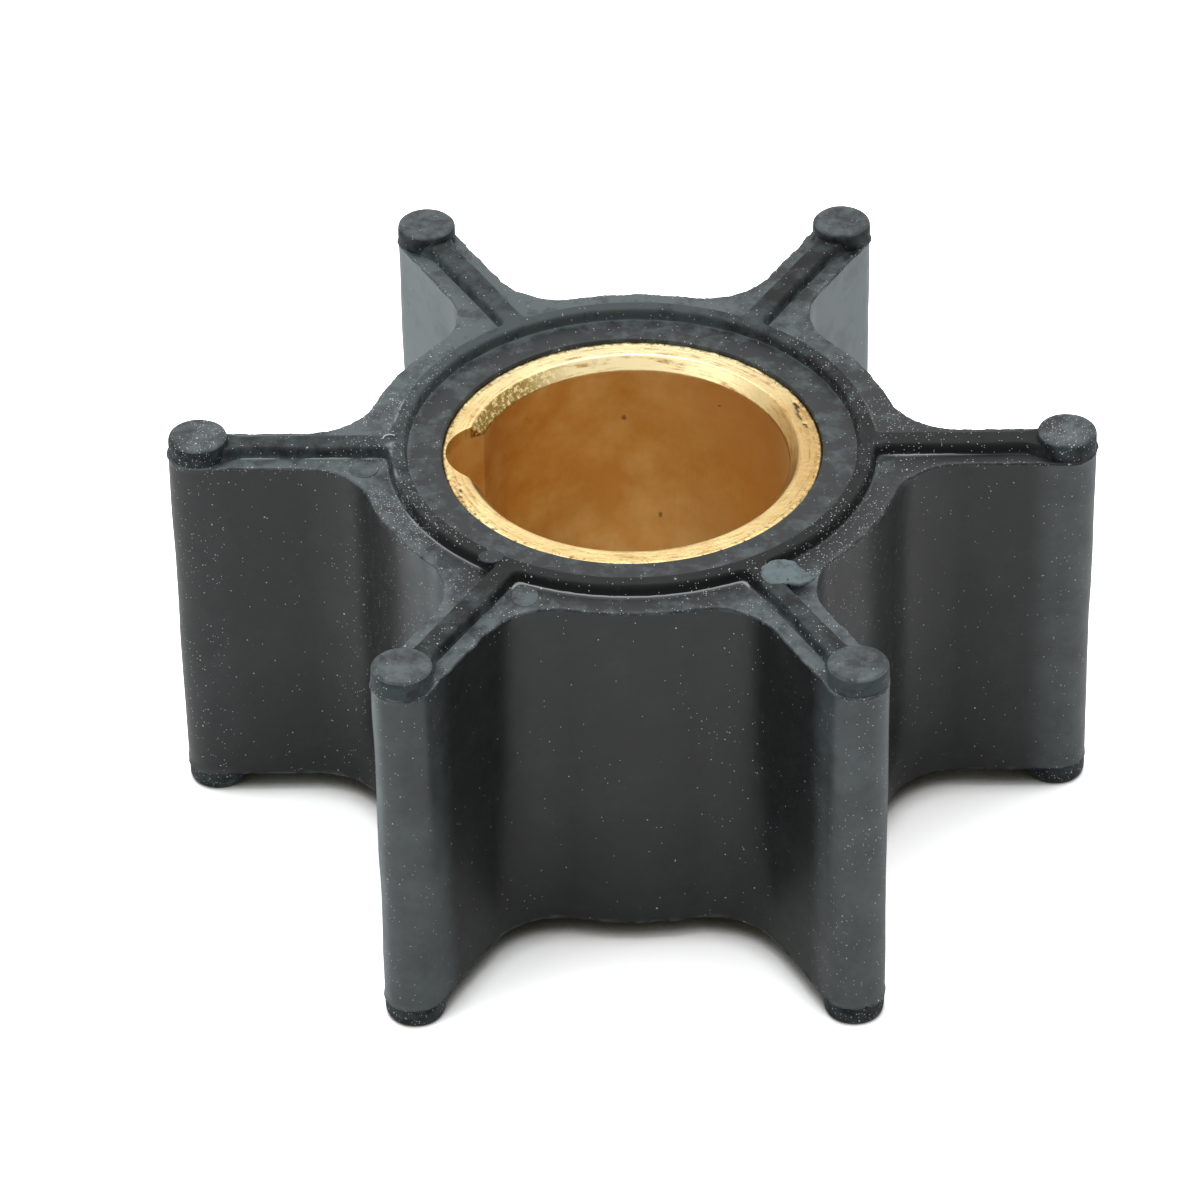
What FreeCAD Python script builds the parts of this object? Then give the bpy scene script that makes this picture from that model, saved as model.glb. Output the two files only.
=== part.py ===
"""Rubber impeller of an outboard motor's cooling pump: a six-vane moulding round a keyed brass bush.

Millimetres. +Z runs up the bore, the six foot discs stand on z = 0, the first vane points along +X
and the keyway lies on the -X side.
"""
import FreeCAD, Part
import os
import Sketcher

# Driving dimensions: name, value and what it measures
SIZES = (
    ("tip_circle", 53.25, "circle through the middles of the tip columns, diameter"),
    ("tip_diameter", 3.75, "full-round column at the end of a vane"),
    ("vane_count", 6, "vanes, evenly spaced"),
    ("vane_thickness", 3.7, "flat stretch of a vane"),
    ("root_radius", 4.5, "fillet from a vane's flank into the hub"),
    ("body_height", 24.0, "from the lower ledge to the upper ledge"),
    ("foot_diameter", 3.7, "disc above and below each tip"),
    ("foot_height", 1.25, "how far a disc stands proud of its ledge"),
    ("foot_rounding", 0.2, "rim of a disc"),
    ("lip_reach", 0.12, "moulding lip round each end of a tip column"),
    ("lip_height", 0.3, "moulding lip along the column"),
    ("ledge_width", 1.7, "flat rim of the hub outside the ring bead"),
    ("ring_bead_width", 1.2, "sealing bead round the hub, at its foot"),
    ("vane_bead_width", 1.6, "sealing bead along a vane, at its foot"),
    ("bead_height", 0.7, "sealing beads above the ledge"),
    ("bead_draft", 0.15, "how far each flank of a bead leans in"),
    ("bead_rounding", 0.2, "crest edges of the beads"),
    ("face_width", 2.1, "rubber face between the bush and the ring bead"),
    ("bore_diameter", 19.3, "running bore of the bush, for a 19.05 mm shaft"),
    ("bush_wall", 2.05, "wall of the bush"),
    ("bush_recess", 0.2, "bush end below the rubber face"),
    ("bush_edge", 0.2, "chamfer on the bush's outer edges"),
    ("mouth_width", 0.6, "mouth chamfer of the bore, across the end face"),
    ("mouth_depth", 0.8, "mouth chamfer of the bore, along the axis"),
    ("keyway_diameter", 5.9, "half-round keyway"),
    ("keyway_floor", 0.25, "brass left behind the keyway"),
)

# Places worked out from the driving dimensions
DERIVED = (
    ("tip_centre", "Sizes.tip_circle / 2"),
    ("tip_radius", "Sizes.tip_diameter / 2"),
    ("foot_radius", "Sizes.foot_diameter / 2"),
    ("lip_radius", "tip_radius + Sizes.lip_reach"),
    ("half_vane", "Sizes.vane_thickness / 2"),
    ("bush_radius", "Sizes.bore_diameter / 2 + Sizes.bush_wall"),
    ("ring_inside", "bush_radius + Sizes.face_width"),
    ("ring_outside", "ring_inside + Sizes.ring_bead_width"),
    ("ring_middle", "ring_inside + Sizes.ring_bead_width / 2"),
    ("ring_crest_inside", "ring_inside + Sizes.bead_draft"),
    ("ring_crest_outside", "ring_outside - Sizes.bead_draft"),
    ("hub_radius", "ring_outside + Sizes.ledge_width"),
    ("bead_reach", "tip_centre - ring_middle"),
    ("half_bead", "Sizes.vane_bead_width / 2"),
    ("half_crest", "half_bead - Sizes.bead_draft"),
    ("lower_ledge", "Sizes.foot_height"),
    ("upper_ledge", "lower_ledge + Sizes.body_height"),
    ("lower_crest", "lower_ledge - Sizes.bead_height"),
    ("upper_crest", "upper_ledge + Sizes.bead_height"),
    ("lower_lip", "lower_ledge + Sizes.lip_height"),
    ("upper_lip", "upper_ledge - Sizes.lip_height"),
    ("top", "upper_ledge + Sizes.foot_height"),
    ("bush_bottom", "lower_ledge + Sizes.bush_recess"),
    ("bush_top", "upper_ledge - Sizes.bush_recess"),
    ("bush_lower_edge", "bush_bottom + Sizes.bush_edge"),
    ("bush_upper_edge", "bush_top - Sizes.bush_edge"),
    ("bush_end_radius", "bush_radius - Sizes.bush_edge"),
    ("bore_radius", "Sizes.bore_diameter / 2"),
    ("mouth_radius", "bore_radius + Sizes.mouth_width"),
    ("lower_mouth", "bush_bottom + Sizes.mouth_depth"),
    ("upper_mouth", "bush_top - Sizes.mouth_depth"),
    ("keyway_radius", "Sizes.keyway_diameter / 2"),
    ("keyway_centre", "bush_radius - Sizes.keyway_floor - keyway_radius"),
)

TOLERANCE = 0.001
DRIVING_NAMES = [name for name, _, _ in SIZES]


def make_sheets(doc):
    """Puts the driving dimensions and the places that follow from them into two sheets."""
    sizes = doc.addObject("Spreadsheet::Sheet", "Sizes")
    for row, (name, number, note) in enumerate(SIZES, 1):
        sizes.set(f"A{row}", name)
        sizes.set(f"B{row}", str(number))
        sizes.set(f"C{row}", note)
        sizes.setAlias(f"B{row}", name)
    doc.recompute()
    derived = doc.addObject("Spreadsheet::Sheet", "Derived")
    for row, (name, formula) in enumerate(DERIVED, 1):
        derived.set(f"A{row}", name)
        derived.set(f"B{row}", "=" + formula)
        derived.setAlias(f"B{row}", name)
    doc.recompute()
    return sizes, derived


def cell(name):
    """The sheet and alias that hold a size."""
    sheet = "Sizes" if name in DRIVING_NAMES else "Derived"
    return f"{sheet}.{name}"


def millimetres(doc, name):
    """The number that a size has now."""
    sheet = doc.Sizes if name in DRIVING_NAMES else doc.Derived
    return float(getattr(sheet, name))


def new_body(doc, label):
    body = doc.addObject("PartDesign::Body", label)
    body.Label = label
    body.Placement = FreeCAD.Placement()
    return body


def new_sketch(body, name, plane, lift=None, shift=None):
    """A sketch on one of the body's origin planes, lifted along its normal or shifted along its X."""
    sketch = body.newObject("Sketcher::SketchObject", name)
    support = [feature for feature in body.Origin.OriginFeatures if feature.Role == plane][0]
    sketch.AttachmentSupport = [(support, "")]
    sketch.MapMode = "FlatFace"
    if lift:
        sketch.setExpression(".AttachmentOffset.Base.z", cell(lift))
    if shift:
        sketch.setExpression(".AttachmentOffset.Base.x", cell(shift))
    return sketch


def dimension(sketch, kind, name, reading, *where):
    """A named dimension bound to its cell, starting from the reading that the cell has now."""
    index = sketch.addConstraint(Sketcher.Constraint(kind, *where, reading))
    sketch.renameConstraint(index, name)
    sketch.setExpression(f"Constraints.{name}", cell(name.split("__")[0]))


def draw_circle(doc, sketch, radius, centre=None):
    """A circle about the origin, or about a point on the sketch's -X axis."""
    radius_now = millimetres(doc, radius)
    centre_now = -millimetres(doc, centre) if centre else 0.0
    middle = FreeCAD.Vector(centre_now, 0, 0)
    circle = sketch.addGeometry(Part.Circle(middle, FreeCAD.Vector(0, 0, 1), radius_now))
    dimension(sketch, "Radius", radius, radius_now, circle)
    if centre:
        sketch.addConstraint(Sketcher.Constraint("PointOnObject", circle, 3, -1))
        dimension(sketch, "DistanceX", centre, -centre_now, circle, 3, -1, 1)
    else:
        sketch.addConstraint(Sketcher.Constraint("Coincident", circle, 3, -1, 1))


def draw_outline(doc, sketch, corners, rounded=(), rounding=None):
    """A closed outline of straight lines. Each corner is a pair of cell names.

    A minus sign before a name mirrors it to the negative side, and None keeps the corner on the axis.
    The corners whose numbers are in rounded get a tangent arc of the rounding's radius.
    """
    def now(name):
        if name is None:
            return 0.0
        return -millimetres(doc, name[1:]) if name.startswith("-") else millimetres(doc, name)

    points = [FreeCAD.Vector(now(across), now(along), 0) for across, along in corners]
    for start, end in zip(points, points[1:] + points[:1]):
        sketch.addGeometry(Part.LineSegment(start, end))
    last = len(points) - 1
    for line in range(len(points)):
        before = last if line == 0 else line - 1
        sketch.addConstraint(Sketcher.Constraint("Coincident", before, 2, line, 1))
    for line, (across, along) in enumerate(corners):
        for kind, name, axis in (("DistanceX", across, -2), ("DistanceY", along, -1)):
            if name is None:
                sketch.addConstraint(Sketcher.Constraint("PointOnObject", line, 1, axis))
                continue
            mirrored = name.startswith("-")
            plain = name.lstrip("-")
            ends = (line, 1, -1, 1) if mirrored else (-1, 1, line, 1)
            dimension(sketch, kind, f"{plain}__{kind}_{line}", millimetres(doc, plain), *ends)
    for corner in rounded:
        radius = millimetres(doc, rounding)
        sketch.fillet(corner, 1, radius, True, True)
        arcs = [index for index, item in enumerate(sketch.Geometry) if isinstance(item, Part.ArcOfCircle)]
        dimension(sketch, "Radius", f"{rounding}__Corner_{corner}", radius, arcs[-1])


def pad(body, name, sketch, length):
    feature = body.newObject("PartDesign::Pad", name)
    feature.Profile = sketch
    feature.setExpression("Length", cell(length))
    return feature


def cut_through(body, name, sketch):
    feature = body.newObject("PartDesign::Pocket", name)
    feature.Profile = sketch
    feature.Type = "ThroughAll"
    feature.Midplane = True
    return feature


def revolve(body, name, sketch):
    """Turns a profile once round the sketch's vertical axis."""
    feature = body.newObject("PartDesign::Revolution", name)
    feature.Profile = sketch
    feature.ReferenceAxis = (sketch, ["V_Axis"])
    feature.Angle = 360.0
    return feature


def repeat_round_axis(body, name, features):
    """Repeats features once for each vane, round the bore."""
    pattern = body.newObject("PartDesign::PolarPattern", name)
    pattern.Originals = features
    axis = [feature for feature in body.Origin.OriginFeatures if feature.Role == "Z_Axis"][0]
    pattern.Axis = (axis, [""])
    pattern.Angle = 360.0
    pattern.setExpression("Occurrences", cell("vane_count"))
    body.Tip = pattern
    return pattern


def round_roots(doc, body, name, star, hub_radius, count):
    """Fillets the upright edges where the vanes meet the hub, and checks how many there are."""
    def is_root(edge):
        ends = edge.Vertexes
        if len(ends) != 2:
            return False
        upright = abs(ends[0].X - ends[1].X) + abs(ends[0].Y - ends[1].Y) < TOLERANCE
        return upright and abs((ends[0].X ** 2 + ends[0].Y ** 2) ** 0.5 - hub_radius) < TOLERANCE

    doc.recompute()
    roots = [f"Edge{number}" for number, edge in enumerate(star.Shape.Edges, 1) if is_root(edge)]
    if len(roots) != count:
        raise RuntimeError(f"{name}: {len(roots)} edges found, {count} expected")
    feature = body.newObject("PartDesign::Fillet", name)
    feature.Base = (star, roots)
    feature.setExpression("Radius", cell("root_radius"))
    body.Tip = feature


def build_rubber(doc):
    """The moulding: hub, vanes with filleted roots, tip columns with their discs, and the sealing beads."""
    body = new_body(doc, "rubber_impeller")
    vanes = int(millimetres(doc, "vane_count"))

    hub_plan = new_sketch(body, "HubPlan", "XY_Plane", lift="lower_ledge")
    draw_circle(doc, hub_plan, "hub_radius")
    pad(body, "Hub", hub_plan, "body_height")

    vane_plan = new_sketch(body, "VanePlan", "XY_Plane", lift="lower_ledge")
    draw_outline(doc, vane_plan, (
        ("ring_inside", "-half_vane"),
        ("tip_centre", "-half_vane"),
        ("tip_centre", "half_vane"),
        ("ring_inside", "half_vane"),
    ))
    vane = pad(body, "Vane", vane_plan, "body_height")
    vane_star = repeat_round_axis(body, "VaneStar", [vane])

    round_roots(doc, body, "VaneRoots", vane_star, millimetres(doc, "hub_radius"), 2 * vanes)

    tip_profile = new_sketch(body, "TipProfile", "XZ_Plane", shift="tip_centre")
    draw_outline(doc, tip_profile, (
        (None, None),
        ("foot_radius", None),
        ("foot_radius", "lower_ledge"),
        ("lip_radius", "lower_ledge"),
        ("tip_radius", "lower_lip"),
        ("tip_radius", "upper_lip"),
        ("lip_radius", "upper_ledge"),
        ("foot_radius", "upper_ledge"),
        ("foot_radius", "top"),
        (None, "top"),
    ), rounded=(1, 8), rounding="foot_rounding")
    tip = revolve(body, "Tip", tip_profile)

    beads = []
    for side in ("lower", "upper"):
        ledge = f"{side}_ledge"
        crest = f"{side}_crest"
        ring_section = new_sketch(body, f"{side.title()}RingSection", "XZ_Plane")
        draw_outline(doc, ring_section, (
            ("ring_inside", ledge),
            ("ring_outside", ledge),
            ("ring_crest_outside", crest),
            ("ring_crest_inside", crest),
        ), rounded=(2, 3), rounding="bead_rounding")
        revolve(body, f"{side.title()}RingBead", ring_section)
        bead_section = new_sketch(body, f"{side.title()}BeadSection", "YZ_Plane", lift="ring_middle")
        draw_outline(doc, bead_section, (
            ("-half_bead", ledge),
            ("half_bead", ledge),
            ("half_crest", crest),
            ("-half_crest", crest),
        ), rounded=(2, 3), rounding="bead_rounding")
        beads.append(pad(body, f"{side.title()}VaneBead", bead_section, "bead_reach"))
    dressed = repeat_round_axis(body, "DressedVanes", [tip] + beads)

    seat_plan = new_sketch(body, "SeatPlan", "XY_Plane")
    draw_circle(doc, seat_plan, "bush_radius")
    doc.recompute()
    solid_volume = dressed.Shape.Volume
    seat = cut_through(body, "Seat", seat_plan)
    doc.recompute()
    if seat.Shape.Volume >= solid_volume:
        raise RuntimeError("Seat cut nothing")
    return body


def build_bush(doc):
    """The bush, turned from bar: chamfered mouths, broken outer edges and a half-round keyway."""
    body = new_body(doc, "brass_bush")
    profile = new_sketch(body, "BushProfile", "XZ_Plane")
    draw_outline(doc, profile, (
        ("bore_radius", "lower_mouth"),
        ("mouth_radius", "bush_bottom"),
        ("bush_end_radius", "bush_bottom"),
        ("bush_radius", "bush_lower_edge"),
        ("bush_radius", "bush_upper_edge"),
        ("bush_end_radius", "bush_top"),
        ("mouth_radius", "bush_top"),
        ("bore_radius", "upper_mouth"),
    ))
    turned = revolve(body, "Turned", profile)
    keyway_plan = new_sketch(body, "KeywayPlan", "XY_Plane")
    draw_circle(doc, keyway_plan, "keyway_radius", centre="keyway_centre")
    doc.recompute()
    turned_volume = turned.Shape.Volume
    keyway = cut_through(body, "Keyway", keyway_plan)
    doc.recompute()
    if keyway.Shape.Volume >= turned_volume:
        raise RuntimeError("Keyway cut nothing")
    return body


def check(doc, bodies):
    """Stops if any feature failed or any piece isn't one sound solid."""
    failed = [item.Name for item in doc.Objects if {"Invalid", "Error"} & set(item.State)]
    if failed:
        raise RuntimeError("features that failed: " + ", ".join(failed))
    for body in bodies:
        shape = body.Shape
        if shape.isNull() or not shape.isValid() or len(shape.Solids) != 1:
            raise RuntimeError(body.Label + " isn't one sound solid")


def main():
    doc = FreeCAD.newDocument("pump_impeller")
    make_sheets(doc)
    bodies = [build_rubber(doc), build_bush(doc)]
    doc.recompute()
    check(doc, bodies)
    os.makedirs("parts", exist_ok=True)
    for body in bodies:
        body.Shape.exportStep(f"parts/{body.Label}.step")
        box = body.Shape.BoundBox
        size = f"{box.XLength:.2f} x {box.YLength:.2f} x {box.ZLength:.2f} mm"
        print(f"{body.Label}: {size}, {body.Shape.Volume:.1f} mm3")


main()
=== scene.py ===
# %% [markdown]
# # A rubber pump impeller, dressed for its photograph
#
# The real part is the impeller of an outboard motor's cooling pump: black nitrile rubber moulded
# round a keyed brass bush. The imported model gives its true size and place, so this script adds what
# a solid can't carry: torn moulding flash, the gate's scar, soft waviness, lathe lines and finishes.
# Lengths are written in millimetres, as on a drawing, and turned to metres when a mesh is made.

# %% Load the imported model
import math
from functools import partial

import bmesh
import bpy
import numpy as np
from mathutils import Matrix, Vector


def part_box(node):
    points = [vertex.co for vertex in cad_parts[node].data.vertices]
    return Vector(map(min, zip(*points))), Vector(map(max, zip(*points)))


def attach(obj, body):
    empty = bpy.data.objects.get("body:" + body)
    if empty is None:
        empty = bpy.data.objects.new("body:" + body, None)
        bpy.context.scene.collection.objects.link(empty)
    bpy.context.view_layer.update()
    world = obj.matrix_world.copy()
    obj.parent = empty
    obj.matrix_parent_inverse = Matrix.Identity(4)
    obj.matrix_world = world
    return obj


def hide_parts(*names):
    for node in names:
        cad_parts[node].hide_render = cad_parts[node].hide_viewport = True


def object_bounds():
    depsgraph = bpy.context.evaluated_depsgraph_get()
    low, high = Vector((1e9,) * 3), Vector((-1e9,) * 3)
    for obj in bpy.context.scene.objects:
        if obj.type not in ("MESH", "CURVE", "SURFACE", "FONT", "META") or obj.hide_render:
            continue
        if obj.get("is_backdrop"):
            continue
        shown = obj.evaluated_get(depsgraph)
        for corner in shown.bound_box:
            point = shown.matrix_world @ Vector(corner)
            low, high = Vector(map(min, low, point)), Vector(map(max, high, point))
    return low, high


MM = 0.001
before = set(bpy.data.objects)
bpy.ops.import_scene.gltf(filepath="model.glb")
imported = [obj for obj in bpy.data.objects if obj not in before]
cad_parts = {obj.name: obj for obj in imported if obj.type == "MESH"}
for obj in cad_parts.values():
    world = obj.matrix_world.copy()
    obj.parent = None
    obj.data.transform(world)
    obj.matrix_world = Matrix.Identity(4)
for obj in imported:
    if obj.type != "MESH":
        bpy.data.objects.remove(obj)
cad_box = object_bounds()
rubber_low, rubber_high = (np.array(corner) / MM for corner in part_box("rubber_impeller"))
print("rubber, mm:", rubber_low.round(2), "to", rubber_high.round(2))

# %% [markdown]
# ## The camera and the light
#
# A product photograph like this is taken with a long lens from arm's length, looking down at about
# 37 degrees. The camera's place comes from matching the six tips and the feet in the picture, so it
# is written as numbers: a heading, a tilt and a small roll, turned one after the other.

# %% The camera
LENS = 188.98
PLACE = (4.326, -312.827, 252.129)
HEADING = math.radians(1.184)
LOOKING_DOWN = math.radians(37.325)
ROLL = math.radians(-1.061)

camera = bpy.data.objects.new("camera", bpy.data.cameras.new("camera"))
camera.data.lens = LENS
camera.data.sensor_width = 36.0
camera.data.clip_start = 0.01
turn = Matrix.Rotation(HEADING, 4, "Z")
tilt = Matrix.Rotation(math.pi / 2 - LOOKING_DOWN, 4, "X")
camera.matrix_world = Matrix.Translation(Vector(PLACE) * MM) @ turn @ tilt @ Matrix.Rotation(ROLL, 4, "Z")
bpy.context.scene.collection.objects.link(camera)
bpy.context.scene.camera = camera
bpy.context.scene.view_settings.view_transform = "Standard"
print("camera right and up:", [round(v, 4) for row in camera.matrix_world.to_3x3().col[:2] for v in row])

# %% [markdown]
# ## Colours and nodes
#
# Colours are picked on a screen, so they are written as sRGB hex and turned into the linear values
# that a renderer adds up. One small function places a node with its settings and its links, and all
# materials are built with it.

# %% Helpers for materials
def colour(hex_code):
    """Linear RGBA of an sRGB hex code: low values divided by 12.92, the rest raised to the 2.4."""
    screen = np.array([int(hex_code[i:i + 2], 16) for i in (1, 3, 5)]) / 255
    linear = np.where(screen <= 0.04045, screen / 12.92, ((screen + 0.055) / 1.055) ** 2.4)
    return (*linear.tolist(), 1.0)


def two_tones(first, second):
    """The settings of a mix from one screen colour to another."""
    return {"Color1": colour(first), "Color2": colour(second)}


def between(low, high, top=1.0):
    """The settings of a map range that turns low..high into 0..top."""
    return {"From Min": low, "From Max": high, "To Max": top}


MULTIPLY = {"operation": "MULTIPLY"}
MULTIPLY_ADD = {"operation": "MULTIPLY_ADD"}
MAXIMUM = {"operation": "MAXIMUM"}


def add_node(tree, kind, settings=None, links=None):
    """Adds a node: settings fill its sockets or its options, and links bring outputs to its sockets.

    A link is given as a node, which stands for its first output, or as one output of a node.
    """
    node = tree.nodes.new("ShaderNode" + kind)
    for name, setting in (settings or {}).items():
        if isinstance(name, int) or name in node.inputs:
            node.inputs[name].default_value = setting
        else:
            setattr(node, name, setting)
    for name, origin in (links or {}).items():
        output = origin.outputs[0] if isinstance(origin, bpy.types.Node) else origin
        tree.links.new(output, node.inputs[name])
    return node


def new_material(name):
    """An empty node material, and add_node for its own tree."""
    material = bpy.data.materials.new(name)
    material.use_nodes = True
    material.node_tree.nodes.clear()
    return material, partial(add_node, material.node_tree)


def per_mm(repeats):
    """A texture scale for a pattern that repeats so many times in a millimetre."""
    return repeats / MM

# %% [markdown]
# ## A white sweep and soft light
#
# The photograph has a pure white ground with only a short contact shadow, because the paper is
# lit until it clips. Brighter lamps would spoil the part's own colours, so the paper's colour is made
# whiter than white for the camera alone, pure white for a reflection, and stays plain paper for the
# light that it throws back. The object's shadow stays, and a painted contact shadow, worked out from
# ambient occlusion, darkens the paper's colour where the part nearly touches.

# %% The paper
FLOOR_WIDTH = 6.0
FLOOR_DROP = 0.02
PLAIN_PAPER = (0.8, 0.8, 0.8, 1.0)
PURE_WHITE = (1.0, 1.0, 1.0, 1.0)
CLIPPED_WHITE = (3.5, 3.5, 3.5, 1.0)
CONTACT_SHADE = colour("#85806f")
CONTACT_REACH = 3.5
CLOSED, OPEN = 0.24, 0.66

floor_mesh = bpy.data.meshes.new("floor")
half = FLOOR_WIDTH / 2
corners = [(x * half, y * half, -FLOOR_DROP * MM) for x, y in ((-1, -1), (1, -1), (1, 1), (-1, 1))]
floor_mesh.from_pydata(corners, [], [(0, 1, 2, 3)])
floor = bpy.data.objects.new("floor", floor_mesh)
bpy.context.scene.collection.objects.link(floor)
floor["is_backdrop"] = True

paper, add = new_material("matt white paper")
ray = add("LightPath")
# Painted contact shadow: where ambient occlusion finds the part close by, the paper's colour turns towards
# CONTACT_SHADE.
openness = add("AmbientOcclusion", {"Distance": CONTACT_REACH * MM, "samples": 16})
painted_contact_shadow = add("MapRange", between(CLOSED, OPEN), {"Value": openness.outputs["AO"]})
clipped = add("MixRGB", {"Color1": CONTACT_SHADE, "Color2": CLIPPED_WHITE}, {"Fac": painted_contact_shadow})
plain = add("MixRGB", {"Color1": PLAIN_PAPER, "Color2": PURE_WHITE}, {"Fac": ray.outputs["Is Glossy Ray"]})
white = add("MixRGB", None, {"Fac": ray.outputs["Is Camera Ray"], "Color1": plain, "Color2": clipped})
sheet = add("BsdfDiffuse", None, {"Color": white})
add("OutputMaterial", None, {"Surface": sheet})
floor_mesh.materials.append(paper)
print("paper:", FLOOR_WIDTH, "m wide,", FLOOR_DROP, "mm below the feet")

# %% The sky
SKY_STRENGTH = 0.38

world = bpy.data.worlds.new("white sky")
bpy.context.scene.world = world
world.use_nodes = True
world.node_tree.nodes.clear()
add = partial(add_node, world.node_tree)
sky = add("Background", {"Color": PURE_WHITE, "Strength": SKY_STRENGTH})
seen_sky = add("Background", {"Color": PURE_WHITE, "Strength": 1.0})
ray = add("LightPath")
seen = add("Math", MAXIMUM, {0: ray.outputs["Is Camera Ray"], 1: ray.outputs["Is Glossy Ray"]})
both = add("MixShader", None, {0: seen, 1: sky, 2: seen_sky})
add("OutputWorld", None, {"Surface": both})


# %% The lamps
def soft_lamp(name, place, width, power):
    """A square lamp that faces the part from a place given in millimetres."""
    lamp = bpy.data.lights.new(name, "AREA")
    lamp.shape = "SQUARE"
    lamp.size = width * MM
    lamp.energy = power
    piece = bpy.data.objects.new(name, lamp)
    piece.location = Vector(place) * MM
    piece.rotation_euler = Vector(place).to_track_quat("Z", "Y").to_euler()
    bpy.context.scene.collection.objects.link(piece)
    print(f"{name}: {width} mm wide, {power} W")


soft_lamp("overhead softbox", place=(-60, 350, 1150), width=1000, power=6.4)
soft_lamp("left softbox", place=(-900, -450, 650), width=600, power=1.2)

# %% [markdown]
# ## Putting worked-out surfaces into a mesh
#
# Every new piece below is a grid of points worked out as whole arrays: rows run along a profile and
# columns run round the part. Rows and columns that meet are welded afterwards, so that the skin
# closes, and the faces are then turned to point outwards.

# %% Helpers for meshes
WELD = 0.0005


def grid_faces(rows, columns):
    """The quads of a grid whose points are numbered row by row."""
    number = np.arange(rows * columns).reshape(rows, columns)
    corners = (number[:-1, :-1], number[:-1, 1:], number[1:, 1:], number[1:, :-1])
    return np.stack(corners, axis=-1).reshape(-1, 4)


def turned(radii, heights, angles, centre=(0, 0)):
    """The points of a profile, columns of radii and heights, carried round an upright axis."""
    x = radii * np.cos(angles) + centre[0]
    y = radii * np.sin(angles) + centre[1]
    return np.stack([x, y, np.broadcast_to(heights, x.shape)], axis=-1)


def skin(name, patches, masks=None):
    """One closed mesh from patches of (points, finish): points is rows x columns x 3 in millimetres.

    The finish is a material number for each row of quads. Masks are numbers from 0 to 1 for each point,
    which ride along through the weld.
    """
    points, faces, finishes, start = [], [], [], 0
    for patch, finish in patches:
        rows, columns = patch.shape[:2]
        points.append(patch.reshape(-1, 3))
        faces.append(grid_faces(rows, columns) + start)
        finishes.append(np.repeat(np.broadcast_to(finish, rows - 1), columns - 1))
        start += rows * columns
    mesh = bpy.data.meshes.new(name)
    mesh.from_pydata((np.concatenate(points) * MM).tolist(), [], np.concatenate(faces).tolist())
    mesh.polygons.foreach_set("material_index", np.concatenate(finishes).astype(np.int32))
    for mask, values in (masks or {}).items():
        layer = mesh.attributes.new(mask, "FLOAT", "POINT")
        layer.data.foreach_set("value", np.concatenate([v.ravel() for v in values]).astype(np.float32))
    shell = bmesh.new()
    shell.from_mesh(mesh)
    bmesh.ops.remove_doubles(shell, verts=shell.verts, dist=WELD * MM)
    bmesh.ops.recalc_face_normals(shell, faces=shell.faces)
    open_edges = sum(1 for edge in shell.edges if not edge.is_manifold)
    shell.to_mesh(mesh)
    shell.free()
    mesh.polygons.foreach_set("use_smooth", np.ones(len(mesh.polygons), bool))
    triangles = sum(len(face.vertices) - 2 for face in mesh.polygons)
    print(f"{name}: {len(mesh.vertices)} points, {triangles} triangles, {open_edges} open edges")
    return mesh


def read_points(mesh):
    """The mesh's points in millimetres and their outward directions, as two arrays."""
    points, outward = np.empty((2, len(mesh.vertices) * 3))
    mesh.vertices.foreach_get("co", points)
    mesh.vertex_normals.foreach_get("vector", outward)
    return points.reshape(-1, 3) / MM, outward.reshape(-1, 3)


def write_points(mesh, points):
    """Moves the mesh's points to places given in millimetres."""
    mesh.vertices.foreach_set("co", (points * MM).ravel())
    mesh.update()


def polar(points):
    """Each point's distance from the bore's axis and its bearing in degrees."""
    return np.hypot(points[:, 0], points[:, 1]), np.degrees(np.arctan2(points[:, 1], points[:, 0]))


def read_mask(mesh, name):
    values = np.empty(len(mesh.vertices))
    mesh.attributes[name].data.foreach_get("value", values)
    return values


def write_mask(mesh, name, values):
    layer = mesh.attributes.get(name) or mesh.attributes.new(name, "FLOAT", "POINT")
    layer.data.foreach_set("value", values.astype(np.float32))


def place_piece(name, mesh, materials, body="root"):
    """Links a finished mesh as a piece that rides on a body and takes its finish from a slot."""
    piece = bpy.data.objects.new(name, mesh)
    bpy.context.scene.collection.objects.link(piece)
    for material in materials:
        mesh.materials.append(material)
    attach(piece, body)
    return piece

# %% [markdown]
# ## Waviness without a picture
#
# Moulded rubber is never quite flat. A sum of sine waves that run in many seeded directions wanders
# smoothly in space, so two surfaces that share an edge get the same value there. Short waves give
# torn edges, and long ones the gentle unevenness of the walls.

# %% Wandering values and soft steps
def ripple(points, wavelength, seed):
    """The sum of twenty sine waves of about that length, in seeded directions, scaled to about -1..1."""
    chance = np.random.default_rng(seed)
    ways = chance.normal(size=(20, 3))
    ways /= np.linalg.norm(ways, axis=1, keepdims=True)
    numbers = 2 * np.pi * ways / (wavelength * chance.uniform(0.6, 1.5, (20, 1)))
    return np.sin(points @ numbers.T + chance.uniform(0, 2 * np.pi, 20)).sum(axis=1) / 6.0


def soft_step(value, low, high):
    """0 below low, 1 above high, and 3t^2 - 2t^3 between them."""
    t = np.clip((value - low) / (high - low), 0.0, 1.0)
    return t * t * (3.0 - 2.0 * t)

# %% [markdown]
# ## The moulded star
#
# Seen from above, each outline of the moulding is the same kind of curve: round a vane's tip, back
# along its flank, through a fillet and on round the hub. The outer wall, the foot of the sealing bead
# and its crest only differ in half width, hub radius and fillet. So one function gives a point of any
# such outline at a length along it. Half a vane is worked out and then mirrored and turned six times.

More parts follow.
